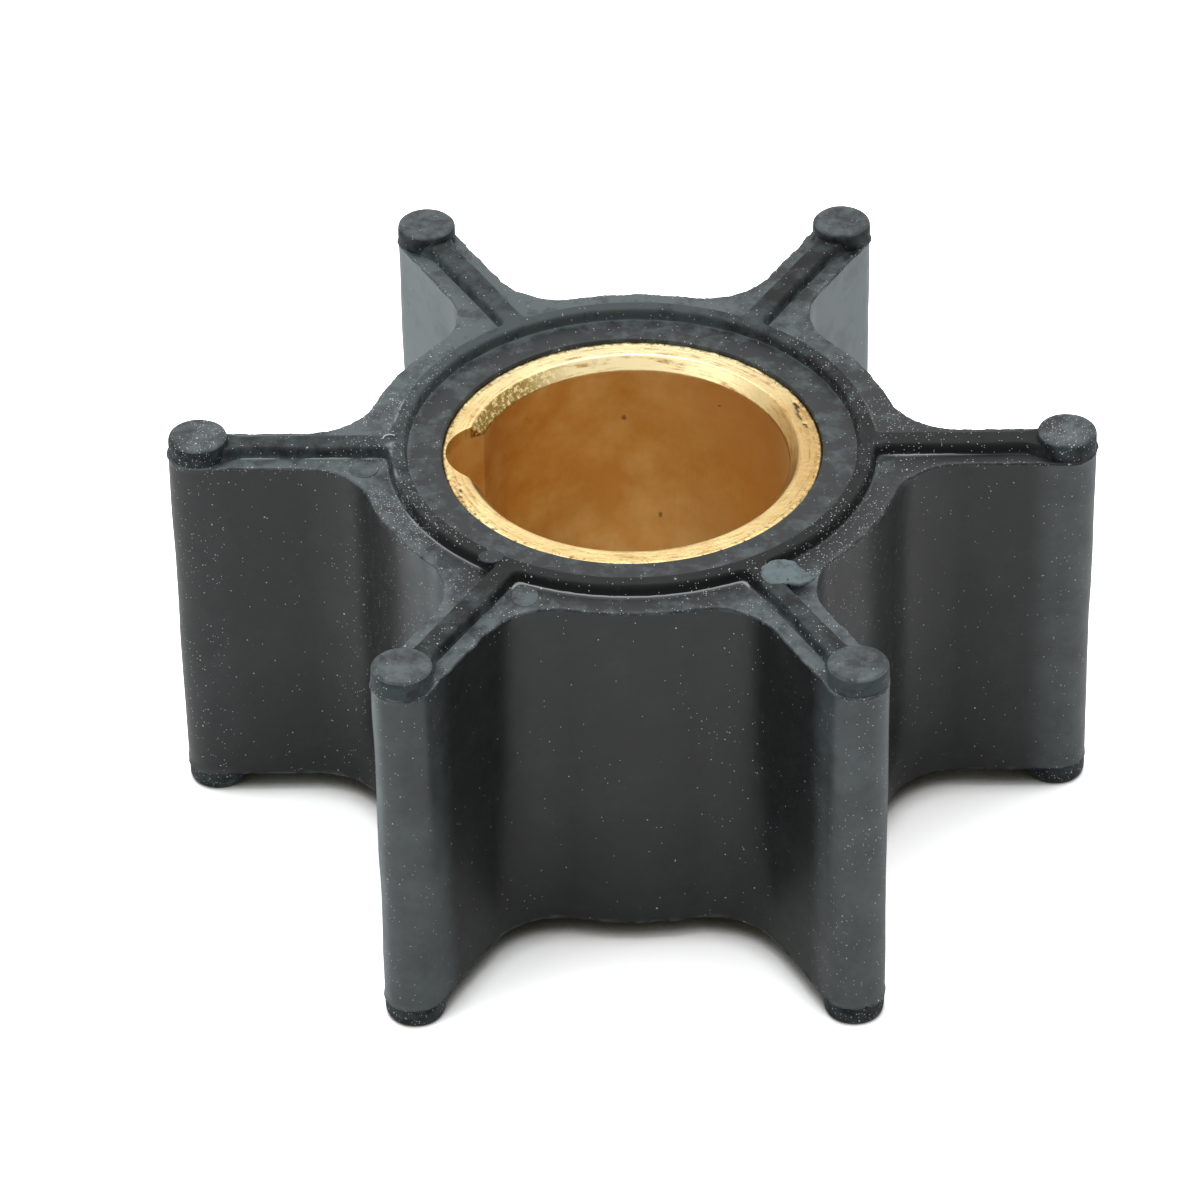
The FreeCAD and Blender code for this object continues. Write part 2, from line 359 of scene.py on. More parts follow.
# %% Sizes of the moulding
TIP_CIRCLE = 26.625
HALF_VANE = 1.85
HUB_RADIUS = 16.7
ROOT_RADIUS = 4.5
LOWER_LEDGE = 1.25
UPPER_LEDGE = 25.25
BEAD_HEIGHT = 0.7
HALF_BEAD = 0.8
BEAD_END = 25.6
RING_OUTSIDE = 15.0
RING_MIDDLE = 14.4
RING_INSIDE = 13.8
BEAD_CORNER = 0.3
BEAD_FLARE = 0.45
FLARE_START = 23.9
FLARE_END = 25.2
SEAT_RADIUS = 11.7
LIP_REACH = 0.12
POCKET_MIDDLE = math.radians(30)

# %% One outline of half a vane
def half_star(half_width, ring_radius, fillet, tip_x):
    """The lengths where its pieces end, and a function from length to (point, outward direction).

    The pieces are a quarter circle round the tip, the flank y = half_width, a fillet that touches
    the flank and the ring's circle, and the ring's circle up to the middle of the pocket.
    """
    width = max(half_width, 1e-9)
    bend = max(fillet, 1e-9)
    centre_y = width + bend
    centre_x = math.sqrt((ring_radius + bend) ** 2 - centre_y ** 2)
    touch = math.atan2(centre_y, centre_x)
    lengths = np.array([math.pi / 2 * width, tip_x - centre_x, bend * (math.pi / 2 - touch),
                        ring_radius * (POCKET_MIDDLE - touch)])
    ends = np.cumsum(lengths)

    def at(length):
        tip = length / width
        root = -math.pi / 2 - (length - ends[1]) / bend
        hub = touch + (length - ends[2]) / ring_radius
        flank_x = tip_x - (length - ends[0])
        piece = np.searchsorted(ends[:3], length, side="right")
        out_x = np.choose(piece, (np.cos(tip), 0 * tip, -np.cos(root), np.cos(hub)))
        out_y = np.choose(piece, (np.sin(tip), 0 * tip + 1, -np.sin(root), np.sin(hub)))
        x = np.choose(piece, (tip_x + width * np.cos(tip), flank_x, centre_x + bend * np.cos(root),
                              ring_radius * np.cos(hub)))
        y = np.choose(piece, (width * np.sin(tip), 0 * tip + width, centre_y + bend * np.sin(root),
                              ring_radius * np.sin(hub)))
        return np.stack([x, y], axis=-1), np.stack([out_x, out_y], axis=-1)

    return ends, at

# %% [markdown]
# The columns of the grid keep their number from the wall to the crest. On the wall they are spread
# evenly along each piece. On the bead, most of the fillet's columns go to the arm, because the bead's
# own corner is small and lies further in.

# %% Columns shared by all outlines
TIP_COLUMNS = 11
FLANK_COLUMNS = 32
ROOT_COLUMNS = 28
HUB_COLUMNS = 18
FLANK_END = TIP_COLUMNS + FLANK_COLUMNS
ROOT_END = FLANK_END + ROOT_COLUMNS
ALL_COLUMNS = ROOT_END + HUB_COLUMNS
CORNER_START = FLANK_END + 18
CORNER_END = FLANK_END + 20
columns = np.arange(ALL_COLUMNS + 1)
FLANK_END_X = math.sqrt((HUB_RADIUS + ROOT_RADIUS) ** 2 - (HALF_VANE + ROOT_RADIUS) ** 2)


def wall_outline(inset):
    """The outer wall's outline, moved in by an inset, with its outward directions."""
    ends, at = half_star(HALF_VANE - inset, HUB_RADIUS - inset, ROOT_RADIUS + inset, TIP_CIRCLE)
    return at(np.interp(columns, (0, TIP_COLUMNS, FLANK_END, ROOT_END, ALL_COLUMNS), (0, *ends)))


def bead_outline(inset):
    """The bead's outline at that distance in from its foot. It widens a little before the tip's disc."""
    ends, at = half_star(HALF_BEAD - inset, RING_OUTSIDE - inset, BEAD_CORNER + inset, BEAD_END)
    turn_in = ends[0] + BEAD_END - FLANK_END_X
    places = (0, TIP_COLUMNS, FLANK_END, CORNER_START, CORNER_END, ALL_COLUMNS)
    points, outward = at(np.interp(columns, places, (0, ends[0], turn_in, ends[1], ends[2], ends[3])))
    flare = 1 + BEAD_FLARE * soft_step(points[:, 0], FLARE_START, FLARE_END)
    points[:, 1] *= np.where(points[:, 0] > 20, flare, 1)
    return points, outward


def spine():
    """The middle line of the bead: along the vane to the ring's middle circle, and round that."""
    ends, at = half_star(0, RING_MIDDLE, 0, BEAD_END)
    turn_in = BEAD_END - FLANK_END_X
    corner = BEAD_END - RING_MIDDLE
    places = (0, TIP_COLUMNS, FLANK_END, CORNER_END, ALL_COLUMNS)
    return at(np.interp(columns, places, (0, 0, turn_in, corner, ends[3])))

# %% [markdown]
# The bead's section is a low bar with slightly leaning flanks and rounded crest edges. It is written
# as pairs of inset and height, and each pair gives one row of the grid.

# %% Rows from the wall over the ledge to the bead's middle
BEAD_SECTION = ((0.0, 0.0), (0.02, 0.03), (0.04, 0.10), (0.07, 0.25), (0.10, 0.42), (0.13, 0.55),
                (0.18, 0.64), (0.26, 0.69), (0.36, 0.70))
BEAD_SECTION_PLAIN = ((0.0, 0.0), (0.08, 0.35), (0.13, 0.57), (0.22, 0.68), (0.36, 0.70))
WALL, LEDGE, BEAD = 0, 1, 2
EDGE_INSETS = ((0.0, 0.16), (0.015, 0.07), (0.05, 0.02), (0.11, 0.0))
RIM_SHARE = 0.12
FLASH_START, FLASH_END = 0.90, 0.98


def level_row(outline, height):
    return np.column_stack([outline, np.full(len(outline), height)])


def half_rows(ledge, upwards, ledge_shares, section):
    """The rows from the ledge's outer edge to the spine, with their finishes and their masks.

    upwards is 1 on the upper side and -1 below. The masks say which points are the ledge's torn rim
    and which are the thin flash at the bead's foot.
    """
    made = []
    for inset, drop in EDGE_INSETS:
        row = level_row(wall_outline(inset)[0], ledge - upwards * drop)
        made.append((row, WALL if drop > 0.1 else LEDGE, 1.0, 0.0))
    ledge_start = wall_outline(EDGE_INSETS[-1][0])[0]
    foot = bead_outline(0)[0]
    for share in ledge_shares:
        row = level_row(ledge_start + share * (foot - ledge_start), ledge)
        made.append((row, LEDGE, 0.5 * (share < RIM_SHARE), 1.0 * (FLASH_START < share < FLASH_END)))
    for inset, height in section:
        made.append((level_row(bead_outline(inset)[0], ledge + upwards * height), BEAD, 0.0, 0.0))
    crest = bead_outline(section[-1][0])[0]
    middle = spine()[0]
    for share in (0.5, 1.0):
        row = level_row(crest + share * (middle - crest), ledge + upwards * BEAD_HEIGHT)
        made.append((row, BEAD, 0.0, 0.0))
    return [list(column) for column in zip(*made)]


upper = half_rows(UPPER_LEDGE, 1, (0.1, 0.25, 0.42, 0.6, 0.75, 0.87, 0.91, 0.95, 0.985), BEAD_SECTION)
lower = half_rows(LOWER_LEDGE, -1, (0.3, 0.65), BEAD_SECTION_PLAIN)
print("rows above:", len(upper[0]), " rows below:", len(lower[0]))

# %% [markdown]
# Between the two ledges stands the wall, with a row about every millimetre, closer together near the
# ends where the moulding lip swells out round each tip column. All rows run from the lower spine,
# out and up the wall, and back in over the top.

# %% The outer half: wall, ledges and the outside of the beads
wall_heights = np.concatenate([[1.5, 1.65, 1.85], np.linspace(2.3, 24.2, 20), [24.65, 24.85, 25.0]])
wall_rows = [level_row(wall_outline(0)[0], height) for height in wall_heights]
outer_rows = np.array(lower[0][::-1] + wall_rows + upper[0])
outer_finish = np.array(lower[1][::-1][:-1] + [WALL] * (len(wall_rows) + 1) + upper[1][1:])
rims = np.array(lower[2][::-1] + [0.0] * len(wall_rows) + upper[2])
flashes = np.array(lower[3][::-1] + [0.0] * len(wall_rows) + upper[3])
tip_share = 1 - soft_step(columns, TIP_COLUMNS + 2, TIP_COLUMNS + 12)

# %% [markdown]
# Inside the ring everything is round the bore: the bead's inner flank, the rubber face beside the
# bush, a small bevel and the seat. Its columns carry on from the ring's own columns, so both halves
# share the circle along the middle of the bead.

# %% The inner half: bead, face and seat
ring_angles = np.arctan2(spine()[0][CORNER_END:, 1], spine()[0][CORNER_END:, 0])
inner_profile = [(RING_MIDDLE, BEAD_HEIGHT), (RING_MIDDLE - 0.12, BEAD_HEIGHT)]
inner_profile += [(RING_INSIDE + inset, height) for inset, height in reversed(BEAD_SECTION)]
inner_profile += [(radius, 0.0) for radius in (13.7, 13.5, 13.2, 12.9, 12.6, 12.3, 12.05, 11.9, 11.8)]
inner_profile += [(11.74, -0.03), (SEAT_RADIUS, -0.1), (SEAT_RADIUS, -1.5)]
inner_profile = np.array(inner_profile)
upper_profile = inner_profile + (0, UPPER_LEDGE)
lower_profile = inner_profile * (1, -1) + (0, LOWER_LEDGE)
round_profile = np.concatenate([upper_profile, lower_profile[::-1]])
inner_rows = turned(round_profile[:, :1], round_profile[:, 1:], ring_angles)
bead_rows = len(BEAD_SECTION) + 1
inner_finish = np.array([BEAD] * bead_rows + [LEDGE] * (len(inner_profile) - bead_rows))
inner_finish = np.concatenate([inner_finish, inner_finish[::-1][1:]])
print("inner rows:", inner_rows.shape, " finishes:", len(inner_finish))

# %% Mirror and turn the half vane
patches, rim_masks, flash_masks, tip_masks = [], [], [], []
for vane in range(6):
    along, across = math.cos(math.radians(60 * vane)), math.sin(math.radians(60 * vane))
    to_vane = np.array([[along, across, 0], [-across, along, 0], [0, 0, 1]])
    for side in (1, -1):
        patches.append((outer_rows * (1, side, 1) @ to_vane, outer_finish))
        patches.append((inner_rows * (1, side, 1) @ to_vane, inner_finish))
        spread = np.ones(len(columns))
        inner_zero = np.zeros(inner_rows.shape[:2])
        rim_masks += [rims[:, None] * spread, inner_zero]
        flash_masks += [flashes[:, None] * spread, inner_zero]
        tip_masks += [np.ones((len(outer_rows), 1)) * tip_share, inner_zero]
rubber_mesh = skin("rubber moulding", patches, {"rim": rim_masks, "flash": flash_masks, "tip": tip_masks})

# %% [markdown]
# ## From a perfect form to a moulded one
#
# The real edges are trimmed by hand, so the rim of each ledge is torn and uneven. A thin ridge of
# flash runs in broken stretches beside the bead, and a lip stands out at both ends of each column.
# Each point moves by an amount that depends on its place, and the masks say where which rule holds.
# The flash has been rubbed off but for the front and the left of the ring and one side of two vanes.

# %% Where the flash still stands
FLASH_ELSEWHERE = 0.12

points, outward = read_points(rubber_mesh)
rim, flash, tip = (read_mask(rubber_mesh, name) for name in ("rim", "flash", "tip"))
radius, angle = polar(points)
from_ledge = np.minimum(abs(points[:, 2] - UPPER_LEDGE), abs(points[:, 2] - LOWER_LEDGE))

front_of_ring = soft_step(angle, -120, -118) * (1 - soft_step(angle, -63, -61)) * (radius < 15.9)
left_of_ring = 0.7 * soft_step(angle, -158, -150) * (1 - soft_step(angle, -128, -124)) * (radius < 15.6)
right_vane = soft_step(angle, -3.6, -3.2) * (angle < 0) * (1 - soft_step(radius, 18, 23))
left_vane = 0.75 * soft_step(angle, -180, -179.8) * (1 - soft_step(angle, -176.8, -176.4)) * (radius < 24)
elsewhere = np.full(len(points), FLASH_ELSEWHERE)
shown = np.max([front_of_ring, left_of_ring, right_vane, left_vane, elsewhere], axis=0)
print("flash stands on", round(float((shown > 0.5).mean() * 100), 1), "% of the points")

# %% [markdown]
# The walls swell and sink by some hundredths of a millimetre. The lips swell too, but nothing may
# reach past the size of the real part, so the outward move has a limit. The ring's crest is scraped
# in short streaks, which only the material shows.

# %% Lips, torn rims, flash ridges and gentle waves
FURTHEST_OUT = 0.13
RIDGE_HEIGHT = 0.06
TORN_DEPTH, TORN_SWELL = 0.10, 0.075

sideways = outward * (1, 1, 0)
sideways /= np.maximum(np.linalg.norm(sideways, axis=1, keepdims=True), 1e-6)
on_wall = (radius > 16.2) & (abs(outward[:, 2]) < 0.8)
level = abs(outward[:, 2]) > 0.8
high_side = points[:, 2] > 13

long_wave = ripple(points, 11.0, 4) * 0.05 + ripple(points, 3.5, 8) * 0.012
lip = LIP_REACH * tip * (1 - soft_step(from_ledge, 0.05, 0.4)) * (0.65 + 0.35 * ripple(points, 1.2, 21))
torn = np.clip(ripple(points, 1.3, 31) * 0.05 + ripple(points, 0.5, 32) * 0.035, -TORN_DEPTH, TORN_SWELL)
broken = soft_step(ripple(points, 3.0, 41), -0.9, -0.3) * shown
ridge = flash * broken * (RIDGE_HEIGHT + 0.02 * ripple(points, 0.8, 42))
streaks = 0.6 * soft_step(ripple(points, 1.6, 43), 0.0, 0.5) * (abs(radius - 14.78) < 0.07)
streaks *= (points[:, 2] > UPPER_LEDGE + 0.6) * soft_step(abs((angle + 360) % 360 - 176), 26, 18)

away = np.where(on_wall, long_wave, 0) + lip + rim * torn * (1 - soft_step(from_ledge, 0.1, 0.5))
away = np.minimum(away, FURTHEST_OUT)
points += sideways * away[:, None] * (radius > 15.3)[:, None]
points[:, 2] += np.where(high_side, 1, -1) * ridge
points[:, 2] += np.where(level, ripple(points, 4.0, 51) * 0.012 + ripple(points, 1.1, 52) * 0.006, 0)
write_points(rubber_mesh, points)
# The flash mask says where the material paints a white highlight along the ridge, and where the crest's
# scraped streaks lie.
write_mask(rubber_mesh, "flash", np.maximum(flash * broken, streaks))
write_mask(rubber_mesh, "rim", rim * soft_step(abs(torn), 0.0, 0.05) * (1 - tip))
print("widest reach, mm:", round(float(np.hypot(points[:, 0], points[:, 1]).max()), 3))

# %% [markdown]
# The skin isn't one tone either. It is palest on the left and behind and darkest in front and on the
# right, and the vanes differ from each other. The walls are pale on the tip columns, most so at the
# foot of the front left one, and behind and left where they face aside. On the columns that is partly
# bloom on the rubber and partly a painted reflection of the room. Where the walls face aside it is a
# painted reflection of the room. So it goes by place. Dust has settled on the ring's left and right.
# Both become masks.

# %% Where the skin is pale and where the dust lies
VANE_PALENESS = (-0.4, 0.35, 0.85, 0.75, 0.6, 0.65)
CREST_SHADE = 0.3
RING_PALENESS = ((-180, 0.7), (-150, 0.25), (-122, -0.4), (-90, -0.25), (-45, -0.6), (0, 0.0), (45, 0.3),
                 (90, 1.2), (140, 1.1), (180, 0.7))
DUSTY_ARCS = ((-152, 28, 0.85), (-38, 34, 0.6), (18, 22, 0.6), (165, 18, 0.6))


def by_vane(levels, angle):
    """The level of the vane that is nearest in angle."""
    return np.array(levels)[np.round(angle / 60).astype(int) % 6]


def paleness(points):
    """Levels round the hub, 0 inside the ring, and a level for each vane, lower on its crest."""
    radius, angle = polar(points)
    round_hub = np.interp(angle, *np.transpose(RING_PALENESS)) * soft_step(radius, 13.3, 14.0)
    on_vane = by_vane(VANE_PALENESS, angle)
    on_vane -= CREST_SHADE * (points[:, 2] > UPPER_LEDGE + 0.2)
    return round_hub + (on_vane - round_hub) * soft_step(radius, 15.0, 18.0)


def dustiness(points):
    """The largest of a few bells round the hub, each with a middle, a half width and a strength."""
    radius, angle = polar(points)
    bells = [strength * np.exp(-(((angle - middle + 180) % 360 - 180) / width) ** 2)
             for middle, width, strength in DUSTY_ARCS]
    return np.max(bells, axis=0) * soft_step(radius, 13.2, 14.2) * (1 - 0.6 * soft_step(radius, 16.0, 20.0))


# %% The masks of the walls, joined to those of the top
COLUMN_BLOOM_AND_REFLECTION = (0.28, 0.31, 0.31, 0.05, 0.32, 0.25)
COLUMN_FADE = 0.48
REFLECTION_BESIDE_FRONT_VANE = 0.6
RIM_DUST = 0.45
WALL_DUST = 0.25

# The tip columns are paler, partly from bloom on the rubber and partly as a painted reflection of the room.
column_bloom_and_reflection = by_vane(COLUMN_BLOOM_AND_REFLECTION, angle) * tip
front_left = abs(angle + 120) < 30
column_bloom_and_reflection *= np.where(front_left, 1 - COLUMN_FADE * points[:, 2] / UPPER_LEDGE, 1)
# Painted reflection on walls that face aside: left of the front left vane and on the rear vanes.
reflection_left_of_front_vane = REFLECTION_BESIDE_FRONT_VANE * soft_step(angle, -150, -137) * (angle < -121)
rear_vane_reflection = (points[:, 1] > 2.5) * soft_step(radius, 17.5, 20.5)
painted_reflection_aside = soft_step(abs(outward[:, 0]), 0.55, 0.9) * np.maximum(reflection_left_of_front_vane, rear_vane_reflection)
wall_bloom_and_reflection = np.maximum(column_bloom_and_reflection, painted_reflection_aside)
is_wall = (radius > 16) & (from_ledge > 0.12) & (points[:, 2] < UPPER_LEDGE)
pale = np.where(is_wall, wall_bloom_and_reflection, paleness(points))

dust = np.maximum(dustiness(points), RIM_DUST * rim * (points[:, 2] > UPPER_LEDGE - 0.5))
below_top = (points[:, 2] < UPPER_LEDGE - 0.5) & (tip < 0.5)
dust = np.where(below_top, WALL_DUST * dust, dust)
for mask, values in (("pale", pale), ("dust", dust)):
    write_mask(rubber_mesh, mask, values)
    print(mask, "from", values.min().round(2), "to", values.max().round(2))

# %% [markdown]
# ## Discs above and below the tips
#
# A small round disc stands on each end of every column. Each is a turned form: a profile of radius
# and height carried once round its own axis, sunk a little into the ledge so that no gap shows. The
# profile's side is written as how far it stands out from the disc's radius, and how high. The sides
# of the two front discs are paler.

# %% Twelve discs
DISC_RADIUS = 1.85
DISC_HEIGHT = 1.25
DISC_ROOT = 0.25
DISC_SIDE = ((0.0, 0.0), (0.01, 0.3), (0.005, 0.6), (0.0, 0.85), (-0.01, 0.98), (-0.05, 1.09),
             (-0.13, 1.17), (-0.25, 1.215), (-0.45, 1.238), (-0.75, 1.247))
SIDE_PALENESS, TOP_PALENESS = 0.9, 0.45

side = np.array(DISC_SIDE) + (DISC_RADIUS, 0)
root = ((0.0, -DISC_ROOT), (DISC_RADIUS, -DISC_ROOT))
flat_top = ((0.7, DISC_HEIGHT), (0.3, DISC_HEIGHT), (0.0, DISC_HEIGHT))
disc_profile = np.concatenate([root, side, flat_top])
disc_angles = np.linspace(0, 2 * np.pi, 49)
discs = []
for vane in range(6):
    heading = math.radians(60 * vane)
    centre = (TIP_CIRCLE * math.cos(heading), TIP_CIRCLE * math.sin(heading))
    for ledge, upwards in ((UPPER_LEDGE, 1), (LOWER_LEDGE, -1)):
        heights = ledge + upwards * disc_profile[:, 1:]
        finish = np.where(disc_profile[1:, 1] > 1.1, LEDGE, BEAD)
        discs.append((turned(disc_profile[:, :1], heights, disc_angles, centre), finish))
disc_mesh = skin("tip discs", discs)

points, outward = read_points(disc_mesh)
wave = np.minimum(ripple(points, 1.6, 61) * 0.014 - 0.014, 0)
flat_foot = points[:, 2] < 0.02
points += outward * np.where(flat_foot, 0, wave)[:, None]
write_points(disc_mesh, points)
front_sides = (points[:, 1] < -15) & (abs(points[:, 2] - UPPER_LEDGE - 0.5) < 0.6)
write_mask(disc_mesh, "pale", np.where(front_sides, SIDE_PALENESS, TOP_PALENESS))
write_mask(disc_mesh, "dust", np.where(points[:, 2] < 2, 0.5, 0.7 * soft_step(abs(points[:, 0]), 20, 26)))

# %% [markdown]
# ## What the mould left behind
#
# The rubber was injected where one vane's bead meets the ring, and the gate was torn off flush with
# the crest. That leaves a low plug with an uneven outline and a rough top. Plain round pin marks lie
# on the ledge and on the ring. Each is a disc of rows and columns again: the outline is a circle
# stretched and ruffled, and the height depends only on how far out a point lies.

# %% A low disc with an uneven outline
def low_disc(place, reach, profile, ruffle, seed):
    """A closed disc: rows follow (share of the reach, height) pairs, columns run round it.

    The outline's reach is multiplied by 1 plus a few sine waves of whole numbers round the disc.
    """
    chance = np.random.default_rng(seed)
    turns = np.linspace(0, 2 * np.pi, 97)
    waves = range(2, 9)
    lobes = sum(chance.uniform(0.3, 1.0) / k * np.sin(k * turns + chance.uniform(0, 6.28)) for k in waves)
    shares, heights = np.array(profile).T
    grow = shares[:, None] * (1 + ruffle * lobes * shares[:, None])
    x = place[0] + reach[0] * grow * np.cos(turns)
    y = place[1] + reach[1] * grow * np.sin(turns)
    return np.stack([x, y, np.broadcast_to(heights[:, None], grow.shape)], axis=-1)


# %% The gate's scar
CREST = UPPER_LEDGE + BEAD_HEIGHT
PLUG_SHARES = (0, 0.15, 0.3, 0.45, 0.6, 0.72, 0.83, 0.91, 0.96, 0.99, 0.98, 0.92, 0.6, 0)
PLUG_HEIGHTS = (0.03, 0.03, 0.035, 0.04, 0.05, 0.06, 0.06, 0.04, -0.01, -0.06, -0.12, -0.18, -0.24, -0.3)
plug_profile = [(share, CREST + height) for share, height in zip(PLUG_SHARES, PLUG_HEIGHTS)]
SCAR_PALENESS = 0.9

scar_lobes = [(low_disc((8.95, -13.6), (1.45, 1.15), plug_profile, ruffle=0.24, seed=5), 0),
              (low_disc((10.0, -14.2), (0.95, 0.6), plug_profile, ruffle=0.2, seed=12), 0)]
scar_mesh = skin("gate scar", scar_lobes)
points, outward = read_points(scar_mesh)
rough_top = np.clip(ripple(points, 0.9, 81) * 0.07 + ripple(points, 0.35, 82) * 0.02, -0.02, 0.08)
points[:, 2] += rough_top * (points[:, 2] > CREST - 0.3)
write_points(scar_mesh, points)
write_mask(scar_mesh, "pale", np.full(len(points), SCAR_PALENESS))

# %% Three pin marks
PIN_MARKS = (((-16.37, -2.05), (0.87, 0.85), UPPER_LEDGE), ((-6.3, -14.95), (0.8, 1.05), UPPER_LEDGE),
             ((-8.35, -11.95), (0.75, 0.62), CREST))
PIN_SHARES = (0, 0.6, 0.84, 0.90, 0.95, 1.0, 1.04, 0)
PIN_HEIGHTS = (0.03, 0.03, 0.028, 0.055, 0.065, 0.05, -0.1, -0.12)
LEDGE_MARK_PALENESS, RING_MARK_PALENESS = 0.55, -0.2

pin_marks = []
for place, reach, level in PIN_MARKS:
    pin_profile = [(share, level + height) for share, height in zip(PIN_SHARES, PIN_HEIGHTS)]
    pin_marks.append((low_disc(place, reach, pin_profile, ruffle=0.03, seed=9), 0))
pin_mesh = skin("pin marks", pin_marks)
on_ring = read_points(pin_mesh)[0][:, 2] > CREST - 0.2
write_mask(pin_mesh, "pale", np.where(on_ring, RING_MARK_PALENESS, LEDGE_MARK_PALENESS))

# %% [markdown]
# A bent fibre of pale lint lies on the ring where the left vane's bead starts. It is a thin tube along
# a third of a circle, and its radius falls to nothing at both ends, so that it closes in two points.

# %% A fibre of lint
FIBRE_PLACE = (-14.85, 0.15)
FIBRE_BEND = 0.42
FIBRE_RADIUS = 0.05
FIBRE_STEPS = 25

bends = np.radians(np.linspace(40, 190, FIBRE_STEPS))[:, None]
round_tube = np.linspace(0, 2 * np.pi, 9)[None, :]
along_fibre = np.linspace(-1, 1, FIBRE_STEPS)[:, None]
thickness = FIBRE_RADIUS * np.sqrt(np.clip(1 - along_fibre ** 4, 0, 1))
from_bend = FIBRE_BEND + thickness * np.cos(round_tube)
fibre_x = FIBRE_PLACE[0] + from_bend * np.cos(bends)
fibre_y = FIBRE_PLACE[1] + from_bend * np.sin(bends)
fibre_z = CREST + 0.03 + thickness * np.sin(round_tube)
fibre_mesh = skin("lint fibre", [(np.stack([fibre_x, fibre_y, fibre_z], axis=-1), 0)])
write_mask(fibre_mesh, "pale", np.ones(len(fibre_mesh.vertices)))

# %% [markdown]
# ## Moulded rubber, in three finishes
#
# All of it is one black nitrile rubber, but the mould left it with three skins. The walls are smooth
# and nearly black. The ledges and the face are paler and blotched, where the mould's flat plate met
# the rubber. The bead is dull and dark, and holds most of the dust. The blotches are about 3 mm wide
# on the walls and 1.4 mm on the ledges, and the grains of dust 0.06 to 0.12 mm.

# %% The rubber's tone
RUBBED_RIM = colour("#6f7678")
FLASH_HIGHLIGHT_AND_SCRAPE = colour("#b9bdbd")
RIM_WEAR = 0.25


def bloomed_tone(add, place, dark, pale, blotch, mottle):
    """A mix from dark to pale: noise in blotches, plus the pale mask times the same noise.

    blotch is the number of blotches in a millimetre and mottle how strongly they show. The torn rim
    and the standing flash, whose masks are points of the mesh, are laid over it. The white on the flash
    ridge is a painted highlight, and the same white marks the scraped streaks on the ring's crest.
    """
    clouds = add("TexNoise", {"Scale": per_mm(blotch), "Detail": 8.0, "Roughness": 0.68}, {"Vector": place})
    spread = add("MapRange", between(0.38, 0.66, mottle) | {"To Min": -0.6 * mottle}, {"Value": clouds})
    uneven = add("MapRange", between(0.38, 0.66, 1.25) | {"To Min": 0.8}, {"Value": clouds})
    bloom = add("Attribute", {"attribute_name": "pale"})
    bloomed = add("Math", MULTIPLY, {0: bloom.outputs["Fac"], 1: uneven})
    tone = add("Math", {"operation": "ADD", "use_clamp": True}, {0: spread, 1: bloomed})
    body = add("MixRGB", two_tones(dark, pale), {"Fac": tone})

    rim = add("Attribute", {"attribute_name": "rim"})
    worn = add("Math", MULTIPLY | {1: RIM_WEAR}, {0: rim.outputs["Fac"]})
    edged = add("MixRGB", {"Color2": RUBBED_RIM}, {"Fac": worn, "Color1": body})
    flash = add("Attribute", {"attribute_name": "flash"})
    # Painted highlight: white along the flash ridge. The same white marks the scraped streaks.
    return add("MixRGB", {"Color2": FLASH_HIGHLIGHT_AND_SCRAPE}, {"Fac": flash.outputs["Fac"], "Color1": edged})


# %% Dust
PALE_DUST = colour("#e0e3e2")
DUST_GRAINS = ((6.5, 0.2), (3.6, 0.15), (1.5, 0.09))


def dusted(add, place, surface, everywhere):
    """Pale grains of three sizes: (cells in a millimetre, radius as a share of a cell).

    A cell holds a grain where its own random number is below the chance of dust, which is the dust
    mask times soft patches plus the share that lies everywhere.
    """
    drift = add("TexNoise", {"Scale": per_mm(0.4), "Detail": 2.0}, {"Vector": place})
    patches = add("MapRange", between(0.32, 0.56), {"Value": drift})
    settled = add("Attribute", {"attribute_name": "dust"})
    chance = add("Math", MULTIPLY_ADD | {2: everywhere}, {0: settled.outputs["Fac"], 1: patches})
    for cells_per_mm, reach in DUST_GRAINS:
        grains = add("TexVoronoi", {"Scale": per_mm(cells_per_mm)}, {"Vector": place})
        near = add("Math", {"operation": "LESS_THAN", 1: reach}, {0: grains.outputs["Distance"]})
        lot = add("SeparateColor", None, {"Color": grains.outputs["Color"]})
        drawn = add("Math", {"operation": "LESS_THAN"}, {0: lot, 1: chance})
        speck = add("Math", MULTIPLY, {0: near, 1: drawn})
        surface = add("MixRGB", {"Color2": PALE_DUST}, {"Fac": speck, "Color1": surface})
    return surface

# %% [markdown]
# The grain of a mould is some hundredths of a millimetre, which is finer than a pixel here, so it is
# drawn at a ninth of a millimetre, over soft dents of about a millimetre. The relief stays 0.03 mm.

# %% A rubber skin
def rubber_skin(name, dark, pale, blotch, mottle, gloss, specular, dust):
    """Satin nitrile rubber: its tone, its dust, and a fine grain that also varies the roughness."""
    material, add = new_material(name)
    place = add("TexCoord").outputs["Object"]
    toned = bloomed_tone(add, place, dark, pale, blotch, mottle)
    specked = dusted(add, place, toned, dust)
    grain = add("TexNoise", {"Scale": per_mm(9.0), "Detail": 3.0}, {"Vector": place})
    dents = add("TexNoise", {"Scale": per_mm(1.1), "Detail": 3.0}, {"Vector": place})
    relief = add("Math", MULTIPLY_ADD | {1: 0.35}, {0: grain, 2: dents})
    bump = add("Bump", {"Strength": 0.35, "Distance": 0.03 * MM}, {"Height": relief})
    rough = add("MapRange", {"To Min": gloss - 0.08, "To Max": gloss + 0.10}, {"Value": dents})
    satin = {"Specular IOR Level": specular, "Sheen Weight": 0.03, "Sheen Roughness": 0.35}
    rubber = add("BsdfPrincipled", satin, {"Base Color": specked, "Roughness": rough, "Normal": bump})
    add("OutputMaterial", None, {"Surface": rubber})
    return material


